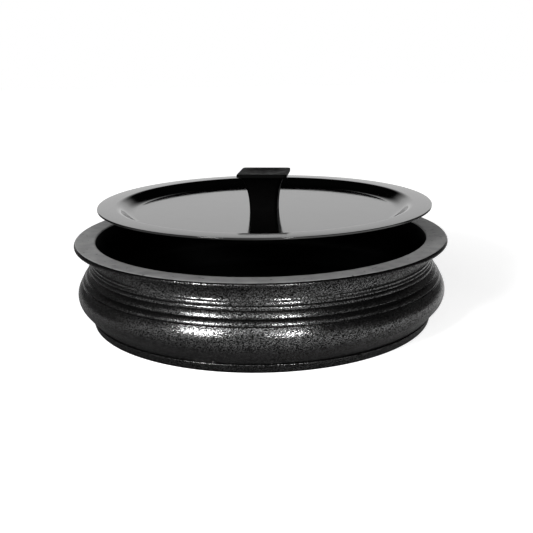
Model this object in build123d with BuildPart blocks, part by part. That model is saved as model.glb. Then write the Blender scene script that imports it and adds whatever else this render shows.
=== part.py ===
from build123d import *
from math import cos, pi, radians, sin
import os

os.makedirs("parts", exist_ok=True)

# Uruli pot with a lift-off lid. Millimetres, +Z up, -Y is the front. The pot stands on Z = 0 and is
# turned about Z. The lid is held level above the mouth, a little back and to the right.

# Pot: overall
mouth_radius = 130.0
mouth_height = 65.1
wall = 3.2
floor_thickness = 4.0

# Pot: flat rim flange, rising a little towards its outer edge
rim_width = 16.3
rim_thickness = 3.8
rim_rise = 0.5
rim_top_edge_radius = 2.3
rim_low_edge_radius = 1.2
mouth_edge_radius = 1.4
neck_fillet_radius = 4.0

# Pot: straight neck, and how far the belly stands out from it
neck_length = 9.5
belly_bulge = 12.5
belly_height = 24.3
shoulder_lean = 1.15
belly_arc_radius = 13.0
belly_turn = 38.4
belly_inner_corner = 9.0

# Pot: foot band
foot_height = 6.4
foot_lip = 1.0
foot_taper = 1.6
foot_edge_radius = 1.5
foot_lip_radius = 0.4

# Turned lines on the shoulder: how far each is below the neck, the depth it is cut to, and how far the
# band below it is crowned. The first line is only the upper edge of a raised bead.
line_drops = (5.1, 6.7, 8.7, 11.5, 16.4, 20.8)
line_depths = (0.0, 0.06, 0.15, 0.12, 0.6, 0.6)
band_crowns = (0.12, 0.03, 0.2, 0.3, 0.35)
line_width = 1.0

# Lid: pressed sheet with a flat flange and a recessed floor
lid_overlap = 3.9
lid_sheet = 1.6
lid_edge_radius = 0.4
lid_flange_width = 16.5
recess_wall_run = 8.2
recess_depth = 6.4
recess_bend_radius = 8.0
recess_corner_radius = 14.0

# Lid: where it is held, from the pot's axis and the mouth's edge to the top of its flange
lid_offset_x = 3.4
lid_offset_y = 17.1
lid_lift = 22.3

# Knob: a square pillar that flares to a square plate with a dished top
knob_turn = -7.0
pillar_width = 22.2
pillar_depth = 21.0
plate_width = 39.7
plate_depth = 41.0
plate_thickness = 2.6
plate_lip = 0.3
knob_corner_radius = 3.0
plate_edge_radius = 0.7
flare_height = 27.7
dish_margin = 2.3
dish_depth = 1.3

# Fixing: threaded insert in the knob, screw and washers below the lid
screw_radius = 2.5
screw_engagement = 8.2
screw_point_chamfer = 0.6
thread_clearance = 0.05
lid_hole_clearance = 0.25
screw_head_wall = 2.25
screw_head_height = 3.0
screw_head_edge_radius = 1.2
cross_arm_width = 1.1
cross_arm_length = 5.2
cross_depth = 1.6
insert_wall = 1.45
insert_end_space = 1.8
insert_groove_width = 2.0
insert_groove_depth = 0.6
washer_bore_clearance = 0.15
flat_washer_width = 3.6
flat_washer_thickness = 1.0
flat_washer_edge_radius = 0.3
lock_washer_width = 1.95
lock_washer_thickness = 1.2
lock_washer_gap = 1.0

# Worked out from the sizes above
neck_radius = mouth_radius + wall
neck_height = mouth_height - neck_length
belly_radius = neck_radius + belly_bulge
line_heights = [neck_height - drop for drop in line_drops]
rim_radius = mouth_radius + rim_width
rim_top = mouth_height + rim_rise
rim_underside = rim_top - rim_thickness

lid_radius = mouth_radius + lid_overlap
recess_mouth_radius = lid_radius - lid_flange_width
recess_floor_radius = recess_mouth_radius - recess_wall_run
lid_top = mouth_height + lid_lift
lid_floor_top = lid_top - recess_depth
lid_floor_underside = lid_floor_top - lid_sheet
flare_head_width = plate_width - 2 * plate_lip
flare_head_depth = plate_depth - 2 * plate_lip
plate_underside = lid_floor_top + flare_height
dish_radius = plate_width / 2 - dish_margin
dish_bottom = plate_underside + plate_thickness - dish_depth
dish_sphere_radius = (dish_radius**2 + dish_depth**2) / (2 * dish_depth)

thread_radius = screw_radius + thread_clearance
insert_radius = thread_radius + insert_wall
insert_length = screw_engagement + insert_end_space
washer_bore_radius = screw_radius + washer_bore_clearance
washer_underside = lid_floor_underside - flat_washer_thickness
screw_seat = washer_underside - lock_washer_thickness
screw_tip = lid_floor_top + screw_engagement

lid_axis = Axis((lid_offset_x, lid_offset_y, 0), (0, 0, 1))
turn_x = cos(radians(knob_turn))
turn_y = sin(radians(knob_turn))


def lid_plane(height):
    """Level plane on the lid's axis, turned as the knob is."""
    return Plane(origin=(lid_offset_x, lid_offset_y, height), x_dir=(turn_x, turn_y, 0), z_dir=(0, 0, 1))


def lid_section_plane(height):
    """Upright plane through the lid's axis: sketch X is the radius, sketch Y is the height."""
    return Plane(origin=(lid_offset_x, lid_offset_y, height), x_dir=(1, 0, 0), z_dir=(0, -1, 0))


def shoulder_radius(height):
    """Radius of the smooth outer shoulder between the neck and the belly."""
    down = (neck_height - height) / (neck_height - belly_height)
    return neck_radius + (belly_radius - neck_radius) * (1 - cos(pi * down**shoulder_lean)) / 2


def between(start, end, share):
    """The height at a share of the way from start to end."""
    return start + (end - start) * share


# Lower belly: an arc that turns under the belly's widest line, then a straight run to the foot
belly_arc_centre = belly_radius - belly_arc_radius
belly_arc_end = (
    belly_arc_centre + belly_arc_radius * cos(radians(belly_turn)),
    belly_height - belly_arc_radius * sin(radians(belly_turn)),
)
belly_run = (belly_arc_end[1] - foot_height) / cos(radians(belly_turn))
foot_join_radius = belly_arc_end[0] - belly_run * sin(radians(belly_turn))
foot_top_radius = foot_join_radius + foot_lip
foot_base_radius = foot_top_radius - foot_taper

# Inner belly: the same turn, one wall inside
inner_arc_radius = belly_arc_radius - wall
inner_arc_end = (
    belly_arc_centre + inner_arc_radius * cos(radians(belly_turn)),
    belly_height - inner_arc_radius * sin(radians(belly_turn)),
)
inner_run = (inner_arc_end[1] - floor_thickness) / cos(radians(belly_turn))
inner_floor_radius = inner_arc_end[0] - inner_run * sin(radians(belly_turn))

# Pot body: one turned shell
with BuildPart() as pot_body:
    with BuildSketch(Plane.XZ) as pot_section:
        with BuildLine():
            # Foot and lower belly
            foot_top = (foot_top_radius, foot_height)
            foot_join = (foot_join_radius, foot_height)
            Polyline((0, 0), (foot_base_radius, 0), foot_top, foot_join, belly_arc_end)
            RadiusArc(belly_arc_end, (belly_radius, belly_height), -belly_arc_radius)
            # Smooth shoulder up to the lowest line
            low_edge = line_heights[-1] - line_width / 2
            rise = [between(belly_height, low_edge, share) for share in (0, 0.35, 0.7, 1)]
            Spline([(shoulder_radius(height), height) for height in rise])
            # Bands and lines, from the lowest line to the bead
            for index in range(len(line_heights) - 1, 0, -1):
                height = line_heights[index]
                bottom = height - line_width / 2
                top = height + line_width / 2
                groove = (shoulder_radius(height) - line_depths[index], height)
                Polyline((shoulder_radius(bottom), bottom), groove, (shoulder_radius(top), top))
                upper = line_heights[index - 1]
                if line_depths[index - 1] > 0:
                    upper = upper - line_width / 2
                middle = (top + upper) / 2
                crown = (shoulder_radius(middle) + band_crowns[index - 1], middle)
                ThreePointArc((shoulder_radius(top), top), crown, (shoulder_radius(upper), upper))
            # Neck and the rim's flange
            bead_top = line_heights[0]
            neck_middle = between(bead_top, neck_height, 0.5)
            Spline(
                (shoulder_radius(bead_top), bead_top),
                (shoulder_radius(neck_middle), neck_middle),
                (neck_radius, neck_height),
            )
            Polyline(
                (neck_radius, neck_height),
                (neck_radius, rim_underside),
                (rim_radius, rim_underside),
                (rim_radius, rim_top),
                (mouth_radius, mouth_height),
                (mouth_radius, neck_height),
            )
            # Inside: neck, shoulder and belly, one wall in
            fall = [between(neck_height, belly_height, share) for share in (0, 0.25, 0.5, 0.75, 1)]
            Spline(
                [(shoulder_radius(height) - wall, height) for height in fall],
                tangents=((0, -1), (0, -1)),
            )
            RadiusArc((belly_radius - wall, belly_height), inner_arc_end, inner_arc_radius)
            Polyline(inner_arc_end, (inner_floor_radius, floor_thickness), (0, floor_thickness), (0, 0))
        make_face()

        def corner(radius, height):
            """The section's corner nearest to a point."""
            return pot_section.vertices().sort_by_distance(Vector(radius, height, 0))[0]

        fillet(corner(foot_base_radius, 0), foot_edge_radius)
        fillet(corner(foot_top_radius, foot_height), foot_lip_radius)
        fillet(corner(neck_radius, rim_underside), neck_fillet_radius)
        fillet(corner(rim_radius, rim_underside), rim_low_edge_radius)
        fillet(corner(rim_radius, rim_top), rim_top_edge_radius)
        fillet(corner(mouth_radius, mouth_height), mouth_edge_radius)
        fillet(corner(inner_floor_radius, floor_thickness), belly_inner_corner)
    revolve(axis=Axis.Z)

# Lid disc: sheet of one thickness, bent down to its recessed floor
with BuildPart() as lid_disc:
    with BuildSketch(lid_section_plane(lid_top)) as lid_section:
        with BuildLine():
            FilletPolyline(
                (0, -recess_depth),
                (recess_floor_radius, -recess_depth),
                (recess_mouth_radius, 0),
                (lid_radius, 0),
                radius=(recess_corner_radius, recess_bend_radius),
            )
            offset(amount=lid_sheet, side=Side.RIGHT)
        make_face()
        fillet(lid_section.vertices().group_by(Axis.X)[-1], lid_edge_radius)
    revolve(axis=lid_axis)
    with BuildSketch(lid_plane(lid_floor_underside)):
        Circle(screw_radius + lid_hole_clearance)
    extrude(amount=lid_sheet, mode=Mode.SUBTRACT)


def insert_outline():
    """Half section of the insert's outside, with a groove that locks it in the knob."""
    groove_low = (insert_length - insert_groove_width) / 2
    groove_high = groove_low + insert_groove_width
    waist = insert_radius - insert_groove_depth
    Polyline(
        (0, 0),
        (insert_radius, 0),
        (insert_radius, groove_low),
        (waist, groove_low),
        (waist, groove_high),
        (insert_radius, groove_high),
        (insert_radius, insert_length),
        (0, insert_length),
        close=True,
    )


def flare_profile(foot, head):
    """Front or side view of the pillar: sides that flare as quarter ellipses."""
    reach = (head - foot) / 2
    Line((-foot / 2, 0), (foot / 2, 0))
    EllipticalCenterArc((head / 2, 0), reach, flare_height, start_angle=90, arc_size=90)
    Line((head / 2, flare_height), (-head / 2, flare_height))
    EllipticalCenterArc((-head / 2, 0), reach, flare_height, start_angle=0, arc_size=90)


# Lid knob: the pillar is where its front view and its side view meet
knob_plane = lid_plane(lid_floor_top)
front_plane = Plane(origin=knob_plane.origin, x_dir=knob_plane.x_dir, z_dir=-knob_plane.y_dir)
side_plane = Plane(origin=knob_plane.origin, x_dir=knob_plane.y_dir, z_dir=knob_plane.x_dir)
with BuildPart() as lid_knob:
    with BuildSketch(front_plane.offset(-plate_depth)):
        with BuildLine():
            flare_profile(pillar_width, flare_head_width)
        make_face()
    extrude(amount=2 * plate_depth)
    with BuildSketch(side_plane.offset(-plate_width)):
        with BuildLine():
            flare_profile(pillar_depth, flare_head_depth)
        make_face()
    extrude(amount=2 * plate_width, mode=Mode.INTERSECT)
    rising_edges = lid_knob.edges().filter_by(lambda edge: edge.bounding_box().size.Z > flare_height / 2)
    fillet(rising_edges, knob_corner_radius)
    with BuildSketch(lid_plane(plate_underside)):
        RectangleRounded(plate_width, plate_depth, knob_corner_radius)
    extrude(amount=plate_thickness)
    fillet(lid_knob.faces().sort_by(Axis.Z)[-1].edges(), plate_edge_radius)
    # Dished top
    with Locations((lid_offset_x, lid_offset_y, dish_bottom + dish_sphere_radius)):
        Sphere(dish_sphere_radius, mode=Mode.SUBTRACT)
    # Pocket that the insert fills
    with BuildSketch(lid_section_plane(lid_floor_top)):
        with BuildLine():
            insert_outline()
        make_face()
    revolve(axis=lid_axis, mode=Mode.SUBTRACT)

# Knob insert: a grooved sleeve held fast in the knob's foot
with BuildPart() as knob_insert:
    with BuildSketch(lid_section_plane(lid_floor_top)):
        with BuildLine():
            insert_outline()
        make_face()
    revolve(axis=lid_axis)
    with BuildSketch(lid_plane(lid_floor_top)):
        Circle(thread_radius)
    extrude(amount=insert_length, mode=Mode.SUBTRACT)

# Knob screw: pan head with a cross recess, driven up from below the lid
with BuildPart() as knob_screw:
    with BuildSketch(lid_plane(screw_seat)):
        Circle(screw_radius + screw_head_wall)
    extrude(amount=-screw_head_height)
    fillet(knob_screw.faces().sort_by(Axis.Z)[0].edges(), screw_head_edge_radius)
    with BuildSketch(lid_plane(screw_seat)):
        Circle(screw_radius)
    extrude(amount=screw_tip - screw_seat)
    chamfer(knob_screw.faces().sort_by(Axis.Z)[-1].edges(), screw_point_chamfer)
    with BuildSketch(lid_plane(screw_seat - screw_head_height)):
        Rectangle(cross_arm_length, cross_arm_width)
        Rectangle(cross_arm_width, cross_arm_length)
    extrude(amount=cross_depth, mode=Mode.SUBTRACT)

# Lock washer: a split ring, pressed flat between the screw's head and the flat washer
with BuildPart() as lock_washer:
    with BuildSketch(lid_plane(screw_seat)):
        Circle(washer_bore_radius + lock_washer_width)
        Circle(washer_bore_radius, mode=Mode.SUBTRACT)
        with Locations((washer_bore_radius + lock_washer_width / 2, 0)):
            Rectangle(2 * lock_washer_width, lock_washer_gap, mode=Mode.SUBTRACT)
    extrude(amount=lock_washer_thickness)

# Flat washer: spreads the screw's pull on the lid's sheet
with BuildPart() as flat_washer:
    with BuildSketch(lid_plane(washer_underside)):
        Circle(washer_bore_radius + flat_washer_width)
    extrude(amount=flat_washer_thickness)
    fillet(flat_washer.faces().sort_by(Axis.Z)[0].edges(), flat_washer_edge_radius)
    with BuildSketch(lid_plane(washer_underside)):
        Circle(washer_bore_radius)
    extrude(amount=flat_washer_thickness, mode=Mode.SUBTRACT)

# Each piece is written on its own
pieces = {
    "pot_body": pot_body,
    "lid_disc": lid_disc,
    "lid_knob": lid_knob,
    "knob_insert": knob_insert,
    "knob_screw": knob_screw,
    "lock_washer": lock_washer,
    "flat_washer": flat_washer,
}
for name, piece in pieces.items():
    piece.part.label = name
    export_step(piece.part, f"parts/{name}.step")
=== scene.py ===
from math import cos, pi, radians, sin, sqrt, tan

import bpy
from mathutils import Matrix, Vector


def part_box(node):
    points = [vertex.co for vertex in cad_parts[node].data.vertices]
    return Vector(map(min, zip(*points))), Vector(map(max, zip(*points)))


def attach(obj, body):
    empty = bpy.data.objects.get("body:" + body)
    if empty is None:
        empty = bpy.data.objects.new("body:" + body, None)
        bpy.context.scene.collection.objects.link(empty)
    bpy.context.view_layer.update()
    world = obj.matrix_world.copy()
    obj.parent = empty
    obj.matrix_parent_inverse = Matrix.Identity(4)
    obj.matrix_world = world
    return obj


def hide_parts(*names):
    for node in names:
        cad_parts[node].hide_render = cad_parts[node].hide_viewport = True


# Uruli pot with its lid held above the mouth. Metres, +Z up, -Y is the front, as in the frame.

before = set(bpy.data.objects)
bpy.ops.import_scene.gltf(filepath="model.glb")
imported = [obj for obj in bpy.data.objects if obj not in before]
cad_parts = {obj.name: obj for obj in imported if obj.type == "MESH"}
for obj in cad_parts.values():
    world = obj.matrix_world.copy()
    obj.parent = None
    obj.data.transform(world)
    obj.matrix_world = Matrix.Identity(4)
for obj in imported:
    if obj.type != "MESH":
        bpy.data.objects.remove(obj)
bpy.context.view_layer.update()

MM = 0.001

# Pot, as in the solids
RIM_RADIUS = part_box("pot_body")[1].x
RIM_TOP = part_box("pot_body")[1].z
MOUTH_RADIUS = 130.0 * MM
MOUTH_HEIGHT = 65.1 * MM
WALL = 3.2 * MM
FLOOR_THICKNESS = 4.0 * MM
RIM_THICKNESS = 3.8 * MM
RIM_TOP_ROUND = 2.3 * MM
RIM_LOW_ROUND = 1.2 * MM
MOUTH_EDGE_ROUND = 1.4 * MM
NECK_ROUND = 4.0 * MM
NECK_LENGTH = 9.5 * MM
NECK_RADIUS = MOUTH_RADIUS + WALL
NECK_HEIGHT = MOUTH_HEIGHT - NECK_LENGTH
BELLY_BULGE = 12.5 * MM
BELLY_RADIUS = NECK_RADIUS + BELLY_BULGE
BELLY_HEIGHT = 24.3 * MM
SHOULDER_LEAN = 1.15
BELLY_ARC_RADIUS = 13.0 * MM
BELLY_TURN = radians(38.4)
BELLY_INNER_ROUND = 9.0 * MM
FOOT_HEIGHT = 6.4 * MM
FOOT_LIP = 1.0 * MM
FOOT_TAPER = 1.6 * MM
FOOT_EDGE_ROUND = 1.5 * MM
FOOT_LIP_ROUND = 0.4 * MM

# Turned lines, from the lowest up: height, depth of the cut, and crown of the band above it
LINES = (
    (34.8 * MM, 0.6 * MM, 0.35 * MM),
    (39.2 * MM, 0.6 * MM, 0.3 * MM),
    (44.1 * MM, 0.12 * MM, 0.2 * MM),
    (46.9 * MM, 0.15 * MM, 0.03 * MM),
    (48.9 * MM, 0.06 * MM, 0.12 * MM),
)
LINE_WIDTH = 1.0 * MM
LINE_FLOOR_WIDTH = LINE_WIDTH / 4
BEAD_TOP = 50.5 * MM

# Lid, as in the solids
LID_LOW, LID_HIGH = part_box("lid_disc")
LID_CENTRE = ((LID_LOW.x + LID_HIGH.x) / 2, (LID_LOW.y + LID_HIGH.y) / 2)
LID_RADIUS = (LID_HIGH.x - LID_LOW.x) / 2
LID_TOP = LID_HIGH.z
LID_SHEET = 1.6 * MM
LID_EDGE_ROUND = 0.4 * MM
LID_FLANGE = 16.5 * MM
LID_HOLE_RADIUS = 2.75 * MM
RECESS_RADIUS = LID_RADIUS - LID_FLANGE
RECESS_RUN = 8.2 * MM
RECESS_DEPTH = 6.4 * MM
RECESS_FLOOR = LID_TOP - RECESS_DEPTH
RECESS_BEND = 8.0 * MM
RECESS_CORNER = 14.0 * MM

# Knob, as in the solids. A width along X comes first, then a depth along Y.
KNOB_TURN = radians(-7.0)
PILLAR = (22.2 * MM, 21.0 * MM)
PLATE = (39.7 * MM, 41.0 * MM)
PLATE_LIP = 0.3 * MM
PLATE_THICKNESS = 2.6 * MM
PLATE_EDGE_ROUND = 0.7 * MM
KNOB_CORNER = 3.0 * MM
FLARE_HEIGHT = 27.7 * MM
DISH_MARGIN = 2.3 * MM
DISH_RADIUS = min(PLATE) / 2 - DISH_MARGIN
DISH_DEPTH = 1.3 * MM
INSERT_RADIUS = 4.0 * MM
INSERT_LENGTH = 10.0 * MM

# Spans of the meshes: round a turned piece, in a rounded corner, and along a side of the knob
TURN_STEPS = 288
CORNER_STEPS = 8
SIDE_STEPS = 10
SHARP_EDGE = radians(35)

# The rim's satin coat starts this many spans round the rim's top corner, and is this many spans wide
SATIN_START = 5
SATIN_SPANS = 10

# Camera, at the photograph's angle. The lens and the sensor's width are in millimetres.
CAMERA_PLACE = Vector((0, -0.6145, 0.2054))
CAMERA_AIM = Vector((0.00416, 0, 0.03596))
CAMERA_ROLL = radians(-0.877)
CAMERA_LENS = 53.03
CAMERA_SENSOR = 36.0
CAMERA_NEAR = 10 * MM

# Studio: where the lamps aim, how far the floor reaches each way, and the middle of the white in front
LAMP_AIM = Vector((0, -0.14, 0.045))
FLOOR_REACH = 4.0
FRONT_WHITE = radians(-12)


def along(start, end, steps):
    """Evenly spaced values from just after start up to end."""
    return [start + (end - start) * step / steps for step in range(1, steps + 1)]


def rounded(corners, steps=CORNER_STEPS):
    """A line through corners of (x, y, radius), each rounded by an arc of its radius."""
    line = []
    for index, (x, y, radius) in enumerate(corners):
        if radius <= 0:
            line.append((x, y))
            continue
        here = Vector((x, y))
        back = (Vector(corners[index - 1][:2]) - here).normalized()
        ahead = (Vector(corners[(index + 1) % len(corners)][:2]) - here).normalized()
        half = back.angle(ahead) / 2
        centre = here + (back + ahead).normalized() * (radius / sin(half))
        for share in [0] + along(0, 1, steps):
            spoke = (back * (1 - share) + ahead * share) * (radius / tan(half)) + here - centre
            line.append(tuple(centre + spoke.normalized() * radius))
    return line


def mesh_piece(name, points, faces, materials, face_materials=None):
    """A smooth-shaded mesh object made from points and faces, with its sharp edges kept."""
    mesh = bpy.data.meshes.new(name)
    mesh.from_pydata(points, [], faces)
    for material in materials:
        mesh.materials.append(material)
    if face_materials:
        mesh.polygons.foreach_set("material_index", face_materials)
    mesh.polygons.foreach_set("use_smooth", [True] * len(mesh.polygons))
    mesh.update()
    mesh.set_sharp_from_angle(angle=SHARP_EDGE)
    piece = bpy.data.objects.new(name, mesh)
    bpy.context.scene.collection.objects.link(piece)
    return piece


def bridge(low, high):
    """Faces between two rings of point numbers. A ring of one point makes a fan."""
    steps = max(len(low), len(high))
    for step in range(steps):
        after = (step + 1) % steps
        if len(low) == 1:
            yield low[0], high[after], high[step]
        elif len(high) == 1:
            yield low[step], low[after], high[0]
        else:
            yield low[step], low[after], high[after], high[step]


def skin(name, rings, materials, finishes, closed=False):
    """A piece through rings of points. finishes has the number of a material for each span between rings."""
    points = []
    numbers = []
    for ring in rings:
        numbers.append(range(len(points), len(points) + len(ring)))
        points += ring
    faces = []
    face_materials = []
    for index in range(len(rings) if closed else len(rings) - 1):
        span = list(bridge(numbers[index], numbers[(index + 1) % len(rings)]))
        faces += span
        face_materials += [finishes[index]] * len(span)
    return mesh_piece(name, points, faces, materials, face_materials)


def lathe(name, section, centre, materials, finishes, closed=False):
    """A turned piece, from a section of (radius, height) about an upright axis through centre."""
    rings = []
    for radius, height in section:
        steps = TURN_STEPS if radius else 1
        ring = []
        for step in range(steps):
            angle = 2 * pi * step / steps
            ring.append((centre[0] + radius * cos(angle), centre[1] + radius * sin(angle), height))
        rings.append(ring)
    return skin(name, rings, materials, finishes, closed)


def shoulder_radius(height):
    """Radius of the smooth outer shoulder between the neck and the belly."""
    down = (NECK_HEIGHT - height) / (NECK_HEIGHT - BELLY_HEIGHT)
    return NECK_RADIUS + BELLY_BULGE * (1 - cos(pi * down**SHOULDER_LEAN)) / 2


def belly_arc(radius):
    """The belly's turn, from its lower end up to its widest line."""
    centre = BELLY_RADIUS - BELLY_ARC_RADIUS
    angles = [-BELLY_TURN] + along(-BELLY_TURN, 0, steps=12)
    return [(centre + radius * cos(angle), BELLY_HEIGHT + radius * sin(angle)) for angle in angles]


def foot_and_belly():
    """The pot's outside from the middle of its underside up to the belly's widest line."""
    arc = belly_arc(BELLY_ARC_RADIUS)
    arc_radius, arc_height = arc[0]
    join = arc_radius - (arc_height - FOOT_HEIGHT) * tan(BELLY_TURN)
    lip = join + FOOT_LIP
    foot = [
        (0, 0, 0),
        (lip - FOOT_TAPER, 0, FOOT_EDGE_ROUND),
        (lip, FOOT_HEIGHT, FOOT_LIP_ROUND),
        (join, FOOT_HEIGHT, 0),
    ]
    slope = [
        (join + (arc_radius - join) * share, FOOT_HEIGHT + (arc_height - FOOT_HEIGHT) * share)
        for share in along(0, 1, steps=8)
    ]
    return rounded(foot, steps=6) + slope + arc[1:]


def shoulder_bands():
    """The shoulder from the belly's widest line up to the neck, with its turned lines and crowned bands."""
    half = LINE_WIDTH / 2
    half_floor = LINE_FLOOR_WIDTH / 2
    first_line = LINES[0][0] - half
    line = [(shoulder_radius(level), level) for level in along(BELLY_HEIGHT, first_line, steps=14)]
    for index, (height, depth, crown) in enumerate(LINES):
        floor = shoulder_radius(height) - depth
        line += [(floor, height - half_floor), (floor, height + half_floor)]
        start = height + half
        end = LINES[index + 1][0] - half if index + 1 < len(LINES) else BEAD_TOP
        for share in [0] + along(0, 1, steps=8):
            level = start + (end - start) * share
            line.append((shoulder_radius(level) + 4 * crown * share * (1 - share), level))
    return line + [(shoulder_radius(level), level) for level in along(BEAD_TOP, NECK_HEIGHT, steps=5)]


def bowl_inside():
    """The pot's inside, from the neck down to the middle of its floor."""
    bowl = [(MOUTH_RADIUS, NECK_HEIGHT)]
    bowl += [(shoulder_radius(level) - WALL, level) for level in along(NECK_HEIGHT, BELLY_HEIGHT, steps=16)]
    bowl += belly_arc(BELLY_ARC_RADIUS - WALL)[-2::-1]
    end_radius, end_height = bowl[-1]
    floor_radius = end_radius - (end_height - FLOOR_THICKNESS) * tan(BELLY_TURN)
    floor = [
        (end_radius, end_height, 0),
        (floor_radius, FLOOR_THICKNESS, BELLY_INNER_ROUND),
        (0, FLOOR_THICKNESS, 0),
    ]
    return bowl + rounded(floor)[1:]


def make_pot(outside, rim, inside):
    """The pot: one turned shell with three finishes."""
    lower = foot_and_belly() + shoulder_bands()
    underside = RIM_TOP - RIM_THICKNESS
    under_rim = [
        (NECK_RADIUS, NECK_HEIGHT, 0),
        (NECK_RADIUS, underside, NECK_ROUND),
        (RIM_RADIUS, underside, RIM_LOW_ROUND),
        (RIM_RADIUS, RIM_TOP, 0),
    ]
    over_rim = [
        (RIM_RADIUS, underside, 0),
        (RIM_RADIUS, RIM_TOP, RIM_TOP_ROUND),
        (MOUTH_RADIUS, MOUTH_HEIGHT, MOUTH_EDGE_ROUND),
        (MOUTH_RADIUS, NECK_HEIGHT, 0),
    ]
    section = lower + rounded(under_rim)[1:-1]
    before_satin = len(section) + SATIN_START
    section += rounded(over_rim)[1:-1] + bowl_inside()
    after_satin = len(section) - before_satin - SATIN_SPANS
    finishes = [0] * before_satin + [1] * SATIN_SPANS + [2] * after_satin
    pot = lathe("pot_shell", section, (0, 0), [outside, rim, inside], finishes)
    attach(pot, "pot")
    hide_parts("pot_body")


def lid_side(shift):
    """The lid's top from its middle to its outer edge, moved down by shift along its normals."""
    corners = [
        Vector((LID_HOLE_RADIUS, RECESS_FLOOR)),
        Vector((RECESS_RADIUS - RECESS_RUN, RECESS_FLOOR)),
        Vector((RECESS_RADIUS, LID_TOP)),
        Vector((LID_RADIUS, LID_TOP)),
    ]
    lean = (corners[2] - corners[1]).angle_signed(Vector((1, 0)))
    slide = shift * tan(lean / 2)
    moved = [
        (corners[0].x, corners[0].y - shift, 0),
        (corners[1].x + slide, corners[1].y - shift, RECESS_CORNER + shift),
        (corners[2].x + slide, corners[2].y - shift, RECESS_BEND - shift),
        (corners[3].x, corners[3].y - shift, 0),
    ]
    return rounded(moved, steps=10)


def make_lid(coat):
    """The lid: a pressed sheet of one thickness, with a hole for the knob's screw."""
    top = lid_side(0)
    under = lid_side(LID_SHEET)
    edge = [
        (*top[-2], 0),
        (LID_RADIUS, LID_TOP, LID_EDGE_ROUND),
        (LID_RADIUS, LID_TOP - LID_SHEET, LID_EDGE_ROUND),
        (*under[-2], 0),
    ]
    section = top[:-1] + rounded(edge)[1:-1] + under[-2::-1]
    lid = lathe("lid_shell", section, LID_CENTRE, [coat], [0] * len(section), closed=True)
    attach(lid, "lid")
    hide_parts("lid_disc")


def rounded_rectangle(width, depth, corner):
    """Points of a rounded rectangle about its middle, always the same number of them."""
    w, d = width / 2, depth / 2
    points = rounded([(w, -d, corner), (w, d, corner), (-w, d, corner), (-w, -d, corner)])
    line = []
    for index, (x, y) in enumerate(points):
        line.append((x, y))
        if index % (CORNER_STEPS + 1) == CORNER_STEPS:
            next_x, next_y = points[(index + 1) % len(points)]
            line += [
                (x + (next_x - x) * share, y + (next_y - y) * share)
                for share in along(0, 1, SIDE_STEPS)[:-1]
            ]
    return line


def drawn_in(outline, radius, share):
    """An outline moved by a share of the way towards a circle about its middle."""
    moved = []
    for x, y in outline:
        scale = 1 - share + share * radius / sqrt(x * x + y * y)
        moved.append((x * scale, y * scale))
    return moved


def at_height(outline, height):
    """A ring of points at one height."""
    return [(x, y, height) for x, y in outline]


def knob_rings():
    """The knob about its own axis: the insert's pocket, the foot, the flare, the plate and the dish."""
    pocket = drawn_in(rounded_rectangle(*PILLAR, KNOB_CORNER), INSERT_RADIUS, 1)
    rings = [[(0, 0, INSERT_LENGTH)], at_height(pocket, INSERT_LENGTH), at_height(pocket, 0)]
    flare_top = [size - 2 * PLATE_LIP for size in PLATE]
    for angle in [0] + along(0, pi / 2, steps=28):
        sizes = [head - (head - foot) * cos(angle) for head, foot in zip(flare_top, PILLAR)]
        rings.append(at_height(rounded_rectangle(*sizes, KNOB_CORNER), FLARE_HEIGHT * sin(angle)))
    plate_top = FLARE_HEIGHT + PLATE_THICKNESS
    outline = rounded_rectangle(*PLATE, KNOB_CORNER)
    rings.append(at_height(outline, FLARE_HEIGHT))
    for angle in [0] + along(0, pi / 2, steps=6):
        inset = PLATE_EDGE_ROUND * (1 - cos(angle))
        outline = rounded_rectangle(PLATE[0] - 2 * inset, PLATE[1] - 2 * inset, KNOB_CORNER - inset)
        rings.append(at_height(outline, plate_top - PLATE_EDGE_ROUND * (1 - sin(angle))))
    for share in along(0, 1, steps=5):
        rings.append(at_height(drawn_in(outline, DISH_RADIUS, share), plate_top))
    dish_edge = drawn_in(outline, DISH_RADIUS, 1)
    for share in along(0, 1, steps=10)[:-1]:
        drop = DISH_DEPTH * (1 - (1 - share) ** 2)
        rings.append(at_height(drawn_in(dish_edge, 0, share), plate_top - drop))
    return rings + [[(0, 0, plate_top - DISH_DEPTH)]]


def make_knob(plastic):
    """The knob: a square pillar that flares to a plate with a dished top, turned a little on the lid."""
    turn = Matrix.Rotation(KNOB_TURN, 3, "Z")
    place = Vector((*LID_CENTRE, RECESS_FLOOR))
    rings = [[tuple(turn @ Vector(point) + place) for point in ring] for ring in knob_rings()]
    knob = skin("knob_shell", rings, [plastic], [0] * len(rings))
    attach(knob, "lid")
    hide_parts("lid_knob")


def add_node(tree, kind, **settings):
    """A new node, with its properties and the values of its inputs set by name."""
    node = tree.nodes.new(kind)
    for name, value in settings.items():
        if hasattr(node, name):
            setattr(node, name, value)
        else:
            node.inputs[name.replace("_", " ")].default_value = value
    return node


def new_material(name, **values):
    """A material, its node tree and its shader. Values that are the same all over are set on the shader."""
    material = bpy.data.materials.new(name)
    material.use_nodes = True
    shader = material.node_tree.nodes["Principled BSDF"]
    for label, value in values.items():
        shader.inputs[label.replace("_", " ")].default_value = value
    return material, material.node_tree, shader


def grey(value):
    """A colour without a hue."""
    return value, value, value, 1


def place_node(tree):
    """Where a point is on the object, in metres."""
    return add_node(tree, "ShaderNodeTexCoord").outputs["Object"]


def noise(tree, vector, size, detail=2.0):
    """Noise whose spots are about size across. Gives its value, 0 to 1."""
    node = add_node(tree, "ShaderNodeTexNoise", Scale=1 / size, Detail=detail)
    tree.links.new(vector, node.inputs["Vector"])
    return node.outputs["Fac"]


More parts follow.
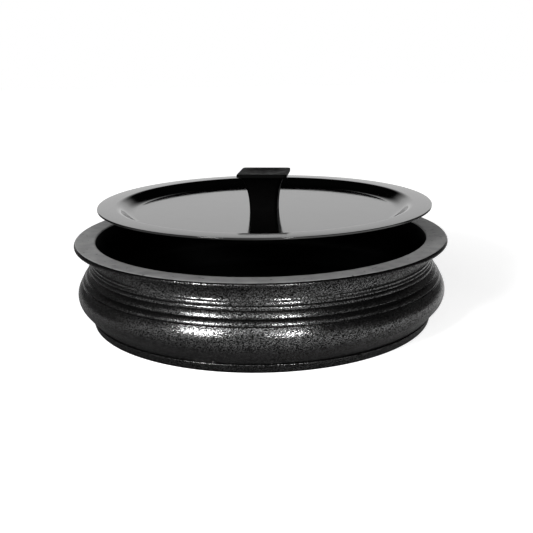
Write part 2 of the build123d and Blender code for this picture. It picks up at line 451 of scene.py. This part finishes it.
def spread(tree, value, low, high, out_low=0.0, out_high=1.0):
    """value moved from one range to another, and kept within it."""
    node = add_node(
        tree, "ShaderNodeMapRange", From_Min=low, From_Max=high, To_Min=out_low, To_Max=out_high
    )
    tree.links.new(value, node.inputs["Value"])
    return node.outputs["Result"]


def calculate(tree, operation, first, second):
    """Two values put together."""
    node = add_node(tree, "ShaderNodeMath", operation=operation)
    tree.links.new(first, node.inputs[0])
    tree.links.new(second, node.inputs[1])
    return node.outputs["Value"]


def product(tree, *factors):
    """Values multiplied together."""
    result = factors[0]
    for factor in factors[1:]:
        result = calculate(tree, "MULTIPLY", result, factor)
    return result


def vector_node(tree, operation, vector, other=(0, 0, 0)):
    """The outputs of an operation on a vector, with a constant second vector where it takes one."""
    node = add_node(tree, "ShaderNodeVectorMath", operation=operation)
    tree.links.new(vector, node.inputs[0])
    node.inputs[1].default_value = other
    return node.outputs


def component(tree, vector, axis):
    """One component of a vector."""
    node = add_node(tree, "ShaderNodeSeparateXYZ")
    tree.links.new(vector, node.inputs["Vector"])
    return node.outputs[axis]


def ring_vector(tree, centre):
    """Distance from an upright axis and height, so that a texture on them makes rings about the axis."""
    from_axis = vector_node(tree, "SUBTRACT", place_node(tree), (*centre, 0))["Vector"]
    flat = vector_node(tree, "MULTIPLY", from_axis, (1, 1, 0))["Vector"]
    join = add_node(tree, "ShaderNodeCombineXYZ")
    tree.links.new(vector_node(tree, "LENGTH", flat)["Value"], join.inputs["X"])
    tree.links.new(component(tree, from_axis, "Z"), join.inputs["Y"])
    return join.outputs["Vector"]


def bump(tree, height, depth, normal=None):
    """Relief of the given depth in metres, on top of another bump's normal if given."""
    node = add_node(tree, "ShaderNodeBump", Strength=1.0, Distance=depth)
    tree.links.new(height, node.inputs["Height"])
    if normal is not None:
        tree.links.new(normal, node.inputs["Normal"])
    return node.outputs["Normal"]


def color_mix(tree, factor, low, high):
    """A colour between two, by factor."""
    node = add_node(tree, "ShaderNodeMix", data_type="RGBA")
    tree.links.new(factor, node.inputs["Factor"])
    node.inputs["A"].default_value = low
    node.inputs["B"].default_value = high
    return node.outputs["Result"]


def hammered_coat():
    """The pot's outside: black coat with turning marks, a fine hammered grain and flecks of uneven shine.
    The flecks shine less just under the rim: painted shade.
    """
    material, tree, shader = new_material("hammered_coat", Base_Color=grey(0.002), Roughness=0.22)
    place = place_node(tree)
    marks = noise(tree, ring_vector(tree, (0, 0)), size=0.9 * MM)
    grain = noise(tree, place, size=0.55 * MM, detail=1.0)
    relief = bump(tree, marks, depth=0.03 * MM)
    tree.links.new(bump(tree, grain, depth=0.06 * MM, normal=relief), shader.inputs["Normal"])
    fleck_size = 0.4 * MM
    cells = add_node(tree, "ShaderNodeTexVoronoi", Scale=1 / fleck_size)
    tree.links.new(place, cells.inputs["Vector"])
    flecks = add_node(tree, "ShaderNodeSeparateColor")
    tree.links.new(cells.outputs["Color"], flecks.inputs["Color"])
    height = component(tree, place, "Z")
    # Painted shade: from 51 to 57 mm up, under the rim's overhang, the flecks shine less. This stands in for
    # the rim's shadow on the neck.
    painted_shade_under_rim = spread(tree, height, low=51 * MM, high=57 * MM, out_low=1.0, out_high=0.8)
    shine = product(tree, flecks.outputs["Red"], painted_shade_under_rim)
    tree.links.new(spread(tree, shine, low=0.4, high=1.0, out_low=1.1, out_high=2.7), shader.inputs["IOR"])
    return material


def rim_coat():
    """The rim's flat top: smooth satin coat with faint turning marks and a few pits. Its grey colour is
    painted sheen, standing in for light that the black rim would mirror.
    """
    material, tree, shader = new_material("rim_coat", Roughness=0.45, Specular_IOR_Level=0.25)
    place = place_node(tree)
    marks = noise(tree, ring_vector(tree, (0, 0)), size=0.5 * MM, detail=3.0)
    relief = bump(tree, marks, depth=0.006 * MM)
    relief = bump(tree, noise(tree, place, size=0.6 * MM), depth=0.01 * MM, normal=relief)
    tree.links.new(relief, shader.inputs["Normal"])
    cloud = spread(tree, noise(tree, place, size=9 * MM, detail=3.0), low=0.3, high=0.7, out_low=0.7)
    pits = spread(tree, noise(tree, place, size=2.2 * MM, detail=0.0), low=0.78, high=0.82, out_high=0.8)
    shade = calculate(tree, "SUBTRACT", cloud, pits)
    # Painted sheen: the grey, up to 0.27, stands in for reflected light on the black rim. The cloud varies
    # it at random, and the pits are real marks.
    tree.links.new(color_mix(tree, shade, grey(0.0), grey(0.27)), shader.inputs["Base Color"])
    return material


def inside_coat():
    """The pot's inside: dull black coat."""
    material, tree, shader = new_material("inside_coat", Roughness=0.5, IOR=1.4, Specular_IOR_Level=0.15)
    place = place_node(tree)
    cloud = noise(tree, place, size=6 * MM, detail=3.0)
    tree.links.new(color_mix(tree, cloud, grey(0.0005), grey(0.002)), shader.inputs["Base Color"])
    tree.links.new(bump(tree, noise(tree, place, size=0.8 * MM), depth=0.02 * MM), shader.inputs["Normal"])
    return material


def lid_coat():
    """The lid: glossy black coat on pressed sheet, with soft waves, and a fine grain on its flange."""
    material, tree, shader = new_material("lid_coat", Base_Color=grey(0.001), IOR=1.65)
    place = place_node(tree)
    radius = component(tree, ring_vector(tree, LID_CENTRE), "X")
    on_flange = spread(tree, radius, low=RECESS_RADIUS - 3 * MM, high=RECESS_RADIUS)
    grain = product(tree, noise(tree, place, size=0.9 * MM), on_flange)
    relief = bump(tree, noise(tree, place, size=30 * MM, detail=1.0), depth=0.03 * MM)
    tree.links.new(bump(tree, grain, depth=0.02 * MM, normal=relief), shader.inputs["Normal"])
    cloud = noise(tree, place, size=14 * MM, detail=1.0)
    rough = spread(tree, cloud, low=0.3, high=0.7, out_low=0.07, out_high=0.1)
    tree.links.new(rough, shader.inputs["Roughness"])
    return material


def knob_plastic():
    """The knob: black moulded plastic with a very fine grain."""
    material, tree, shader = new_material(
        "knob_plastic", Base_Color=grey(0.0005), IOR=1.4, Specular_IOR_Level=0.04
    )
    place = place_node(tree)
    relief = bump(tree, noise(tree, place, size=0.5 * MM, detail=3.0), depth=0.01 * MM)
    tree.links.new(relief, shader.inputs["Normal"])
    cloud = noise(tree, place, size=5 * MM, detail=3.0)
    rough = spread(tree, cloud, low=0.3, high=0.7, out_low=0.45, out_high=0.6)
    tree.links.new(rough, shader.inputs["Roughness"])
    return material


def turned_metal(name, *color):
    """Screw, washers and insert: metal with fine turning marks about their axis, and darker patches."""
    material, tree, shader = new_material(name, Metallic=1.0, Roughness=0.3)
    marks = noise(tree, ring_vector(tree, LID_CENTRE), size=0.12 * MM)
    tree.links.new(bump(tree, marks, depth=0.004 * MM), shader.inputs["Normal"])
    patches = noise(tree, place_node(tree), size=1.5 * MM, detail=3.0)
    dark = [channel * 0.8 for channel in color]
    tree.links.new(color_mix(tree, patches, (*dark, 1), (*color, 1)), shader.inputs["Base Color"])
    return material


def dress_fixing(zinc, brass):
    """The screw and washers in zinc and the insert in brass, on the solids' own meshes."""
    for node in ("knob_screw", "lock_washer", "flat_washer", "knob_insert"):
        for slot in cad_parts[node].material_slots:
            slot.material = brass if node == "knob_insert" else zinc


def make_camera():
    """The camera, level but for a small roll."""
    camera = bpy.data.objects.new("camera", bpy.data.cameras.new("camera"))
    bpy.context.scene.collection.objects.link(camera)
    ahead = (CAMERA_AIM - CAMERA_PLACE).normalized()
    right = ahead.cross(Vector((0, 0, 1))).normalized()
    up = right.cross(ahead)
    rolled_right = right * cos(CAMERA_ROLL) + up * sin(CAMERA_ROLL)
    rolled_up = up * cos(CAMERA_ROLL) - right * sin(CAMERA_ROLL)
    turn = Matrix((rolled_right, rolled_up, -ahead)).transposed()
    camera.matrix_world = Matrix.Translation(CAMERA_PLACE) @ turn.to_4x4()
    camera.data.lens = CAMERA_LENS
    camera.data.sensor_width = CAMERA_SENSOR
    camera.data.clip_start = CAMERA_NEAR
    bpy.context.scene.camera = camera


def make_softbox(name, azimuth, elevation, distance, width, height, radiance):
    """A rectangular lamp that faces the pot's front. Azimuth is counted from the front towards +X."""
    data = bpy.data.lights.new(name, "AREA")
    data.shape = "RECTANGLE"
    data.size = width
    data.size_y = height
    data.energy = pi * width * height * radiance
    lamp = bpy.data.objects.new(name, data)
    bpy.context.scene.collection.objects.link(lamp)
    flat = Vector((sin(radians(azimuth)), -cos(radians(azimuth)), 0))
    away = flat * cos(radians(elevation)) + Vector((0, 0, sin(radians(elevation))))
    lamp.location = LAMP_AIM + away * distance
    lamp.rotation_euler = away.to_track_quat("Z", "Y").to_euler()
    lamp.visible_camera = False


def make_floor():
    """A pale floor, which the camera sees white but for the shadow. The coats mirror it darker close to the
    pot and towards the left, a painted shadow, and in two sectors that reach from the sides halfway round to
    the back, painted shade where dark screens would stand."""
    material, tree, shader = new_material(
        "floor", Roughness=1.0, Specular_IOR_Level=0.0, Emission_Color=grey(1.0)
    )
    place = place_node(tree)
    distance = vector_node(tree, "LENGTH", place)["Value"]
    # Painted shadow: for mirror rays the floor is darker close to the pot and towards the left, standing in
    # for the pot's shadow on it.
    painted_shadow_near = spread(tree, distance, low=132 * MM, high=200 * MM, out_low=0.1)
    left = spread(tree, component(tree, place, "X"), low=-120 * MM, high=80 * MM, out_low=0.4)
    # Painted shade: beyond 250 mm, in two sectors from the sides halfway round to the back, the mirrored
    # floor is dark. This stands in for dark screens that are not there.
    bearing = calculate(tree, "DIVIDE", component(tree, place, "Y"), distance)
    past_side = spread(tree, bearing, low=-0.1, high=0.1)
    before_back = spread(tree, bearing, low=0.7, high=0.85, out_low=1.0, out_high=0.0)
    far_off = spread(tree, distance, low=250 * MM, high=450 * MM)
    in_sector = product(tree, past_side, before_back, far_off)
    painted_screen_shade = spread(tree, in_sector, low=0.0, high=1.0, out_low=1.0, out_high=0.1)
    path = add_node(tree, "ShaderNodeLightPath").outputs
    mirror = calculate(tree, "ADD", path["Is Glossy Ray"], path["Is Transmission Ray"])
    mirrored = product(tree, mirror, painted_shadow_near, left, painted_screen_shade)
    white = spread(tree, distance, low=200 * MM, high=600 * MM, out_low=0.7)
    seen = product(tree, path["Is Camera Ray"], white)
    tree.links.new(calculate(tree, "ADD", mirrored, seen), shader.inputs["Emission Strength"])
    # For mirror rays the floor's own colour is nearly black, so that they see only the painted glow above.
    tree.links.new(color_mix(tree, mirror, grey(0.8), grey(0.02)), shader.inputs["Base Color"])
    reach = FLOOR_REACH
    corners = [(-reach, -reach, 0), (reach, -reach, 0), (reach, reach, 0), (-reach, reach, 0)]
    floor = mesh_piece("floor", corners, [(0, 1, 2, 3)], [material])


def make_world():
    """What the coats mirror of the room: white low down behind the pot, less white low down in front, nearly
    none on either side, and none overhead. The camera sees white all round."""
    world = bpy.data.worlds.new("studio")
    bpy.context.scene.world = world
    world.use_nodes = True
    tree = world.node_tree
    direction = add_node(tree, "ShaderNodeTexCoord").outputs["Generated"]
    front = (sin(FRONT_WHITE), -cos(FRONT_WHITE), 0)
    toward_front = vector_node(tree, "DOT_PRODUCT", direction, front)["Value"]
    height = component(tree, direction, "Z")
    toward_back = component(tree, direction, "Y")
    low_down = spread(tree, height, low=sin(radians(15)), high=sin(radians(25)), out_low=1.0, out_high=0.0)
    behind = spread(tree, toward_back, low=cos(radians(36)), high=cos(radians(28)))
    before = spread(
        tree, toward_front, low=cos(radians(80)), high=cos(radians(65)), out_low=0.1, out_high=0.8
    )
    mirrored = product(tree, low_down, calculate(tree, "MAXIMUM", behind, before))
    seen = add_node(tree, "ShaderNodeLightPath").outputs["Is Camera Ray"]
    background = tree.nodes["Background"]
    tree.links.new(calculate(tree, "MAXIMUM", mirrored, seen), background.inputs["Color"])


make_pot(hammered_coat(), rim_coat(), inside_coat())
make_lid(lid_coat())
make_knob(knob_plastic())
dress_fixing(turned_metal("zinc_plate", 0.62, 0.62, 0.62), turned_metal("insert_brass", 0.72, 0.56, 0.28))

make_camera()
make_softbox("softbox_left", azimuth=-40, elevation=26, distance=1.2, width=0.30, height=0.18, radiance=80)
make_softbox("softbox_right", azimuth=17, elevation=25, distance=1.2, width=0.13, height=0.18, radiance=80)
make_softbox("front_fill", azimuth=-11, elevation=40, distance=1.3, width=1.7, height=0.45, radiance=2.2)
make_floor()
make_world()
bpy.context.scene.view_settings.view_transform = "Standard"
